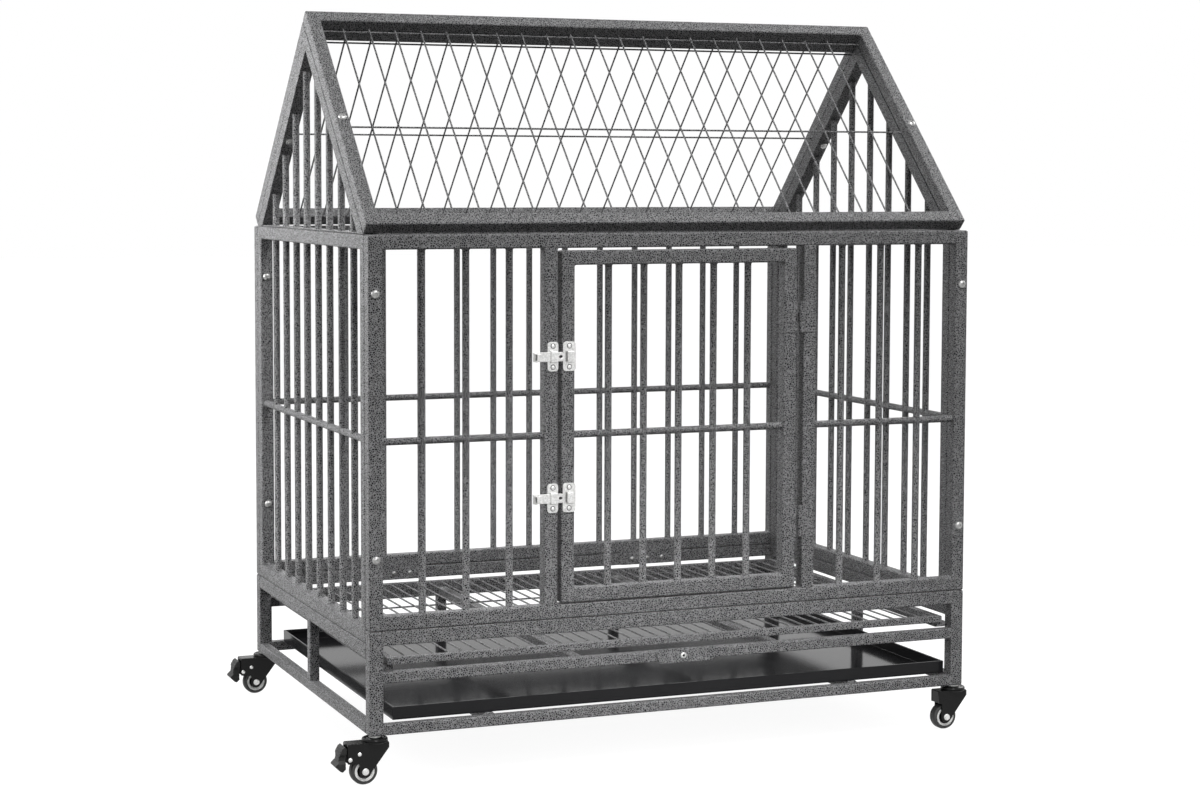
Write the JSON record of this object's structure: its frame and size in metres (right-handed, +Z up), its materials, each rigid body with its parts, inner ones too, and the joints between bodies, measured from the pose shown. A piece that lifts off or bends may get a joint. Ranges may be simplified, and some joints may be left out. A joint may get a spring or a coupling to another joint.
{
  "type": "dog cage",
  "caption": "Wheeled indoor dog cage of dark hammertone steel tube with a pitched wire roof, a bar door, a pull-out floor grid and tray, and swivel casters.",
  "frame": {"origin": "centre of the footprint on the floor, under the wheels", "axes": "+X to the right as seen from the door side, +Y to the back, +Z up; the ridge runs along X"},
  "size_m": [0.979, 0.6402, 1.059],
  "materials": {
    "hammertone": "dark grey hammertone powder coat",
    "tray_enamel": "glossy near-black enamel",
    "zinc": "bright zinc plate",
    "black_steel": "satin black",
    "caster_tyre": "black caster wheel",
    "pedal_plastic": "matte black plastic"
  },
  "bodies": {
    "cage": {"base_front_frame": "hammertone", "base_back_frame": "hammertone", "base_left_frame": "hammertone", "base_right_frame": "hammertone", "floor_bar_left": "hammertone", "floor_bar_right": "hammertone", "tray_bearer_left": "hammertone", "tray_bearer_right": "hammertone", "front_panel": "hammertone", "back_panel": "hammertone", "left_panel": "hammertone", "right_panel": "hammertone", "left_gable": "hammertone", "right_gable": "hammertone", "front_roof_panel": "hammertone", "back_roof_panel": "hammertone", "upper_hinge_jamb_leaf": "hammertone", "lower_hinge_jamb_leaf": "hammertone", "back_plate_left": "hammertone", "back_plate_right": "hammertone", "upper_bolt_plate": "zinc", "lower_bolt_plate": "zinc", "tray_latch_rivet": "zinc", "left_post_upper_bolt": "zinc", "left_post_lower_bolt": "zinc", "left_roof_front_bolt": "zinc", "left_roof_back_bolt": "zinc", "right_post_upper_bolt": "zinc", "right_post_lower_bolt": "zinc", "right_roof_front_bolt": "zinc", "right_roof_back_bolt": "zinc", "front_left_caster_stem": "zinc", "front_right_caster_stem": "zinc", "rear_left_caster_stem": "zinc", "rear_right_caster_stem": "zinc"},
    "door_leaf": {"door": "hammertone", "upper_hinge_door_leaf": "hammertone", "lower_hinge_door_leaf": "hammertone", "upper_bolt_keeper": "zinc", "lower_bolt_keeper": "zinc"},
    "upper_slide_bolt": {"upper_bolt": "zinc"},
    "lower_slide_bolt": {"lower_bolt": "zinc"},
    "turning_latch": {"tray_latch": "hammertone"},
    "pull_out_grid": {"floor_grid": "hammertone"},
    "pull_out_tray": {"tray": "tray_enamel"},
    "front_left_swivel": {"front_left_caster_fork": "black_steel", "front_left_axle": "zinc"},
    "front_left_roller": {"front_left_wheel": "caster_tyre"},
    "front_left_brake": {"front_left_brake_pedal": "pedal_plastic"},
    "front_right_swivel": {"front_right_caster_fork": "black_steel", "front_right_axle": "zinc"},
    "front_right_roller": {"front_right_wheel": "caster_tyre"},
    "rear_left_swivel": {"rear_left_caster_fork": "black_steel", "rear_left_axle": "zinc"},
    "rear_left_roller": {"rear_left_wheel": "caster_tyre"},
    "rear_left_brake": {"rear_left_brake_pedal": "pedal_plastic"},
    "rear_right_swivel": {"rear_right_caster_fork": "black_steel", "rear_right_axle": "zinc"},
    "rear_right_roller": {"rear_right_wheel": "caster_tyre"}
  },
  "joints": [
    {"name": "door_hinge", "type": "hinge", "parent": "cage", "child": "door_leaf", "pos_m": [0.206, -0.3124, 0.4742], "axis": [0, 0, 1], "range_deg": [0, 170]},
    {"name": "upper_bolt_slide", "type": "slide", "parent": "cage", "child": "upper_slide_bolt", "axis": [1, 0, 0], "range_m": [-0.0165, 0.0135]},
    {"name": "lower_bolt_slide", "type": "slide", "parent": "cage", "child": "lower_slide_bolt", "axis": [1, 0, 0], "range_m": [-0.0165, 0.0135]},
    {"name": "tray_latch_turn", "type": "hinge", "parent": "cage", "child": "turning_latch", "pos_m": [0.0235, -0.3085, 0.1442], "axis": [0, -1, 0], "range_deg": [-90, 0]},
    {"name": "tray_slide", "type": "slide", "parent": "cage", "child": "pull_out_tray", "axis": [0, -1, 0], "range_m": [0, 0.5]},
    {"name": "grid_slide", "type": "slide", "parent": "cage", "child": "pull_out_grid", "axis": [0, -1, 0], "range_m": [0, 0.48]},
    {"name": "front_left_swivel_turn", "type": "hinge", "parent": "cage", "child": "front_left_swivel", "pos_m": [-0.4285, -0.2979, 0.0586], "axis": [0, 0, 1], "continuous": true},
    {"name": "front_left_wheel_roll", "type": "hinge", "parent": "front_left_swivel", "child": "front_left_roller", "pos_m": [-0.445, -0.2979, 0.019], "axis": [0, 1, 0], "continuous": true},
    {"name": "front_left_brake_press", "type": "hinge", "parent": "front_left_swivel", "child": "front_left_brake", "pos_m": [-0.4663, -0.2979, 0.03687], "axis": [0, -1, 0], "range_deg": [0, 15]},
    {"name": "front_right_swivel_turn", "type": "hinge", "parent": "cage", "child": "front_right_swivel", "pos_m": [0.4715, -0.2979, 0.0586], "axis": [0, 0, 1], "continuous": true},
    {"name": "front_right_wheel_roll", "type": "hinge", "parent": "front_right_swivel", "child": "front_right_roller", "pos_m": [0.455, -0.2979, 0.019], "axis": [0, 1, 0], "continuous": true},
    {"name": "rear_left_swivel_turn", "type": "hinge", "parent": "cage", "child": "rear_left_swivel", "pos_m": [-0.4285, 0.3021, 0.0586], "axis": [0, 0, 1], "continuous": true},
    {"name": "rear_left_wheel_roll", "type": "hinge", "parent": "rear_left_swivel", "child": "rear_left_roller", "pos_m": [-0.445, 0.3021, 0.019], "axis": [0, 1, 0], "continuous": true},
    {"name": "rear_left_brake_press", "type": "hinge", "parent": "rear_left_swivel", "child": "rear_left_brake", "pos_m": [-0.4663, 0.3021, 0.03687], "axis": [0, -1, 0], "range_deg": [0, 15]},
    {"name": "rear_right_swivel_turn", "type": "hinge", "parent": "cage", "child": "rear_right_swivel", "pos_m": [0.4715, 0.3021, 0.0586], "axis": [0, 0, 1], "continuous": true},
    {"name": "rear_right_wheel_roll", "type": "hinge", "parent": "rear_right_swivel", "child": "rear_right_roller", "pos_m": [0.455, 0.3021, 0.019], "axis": [0, 1, 0], "continuous": true}
  ]
}
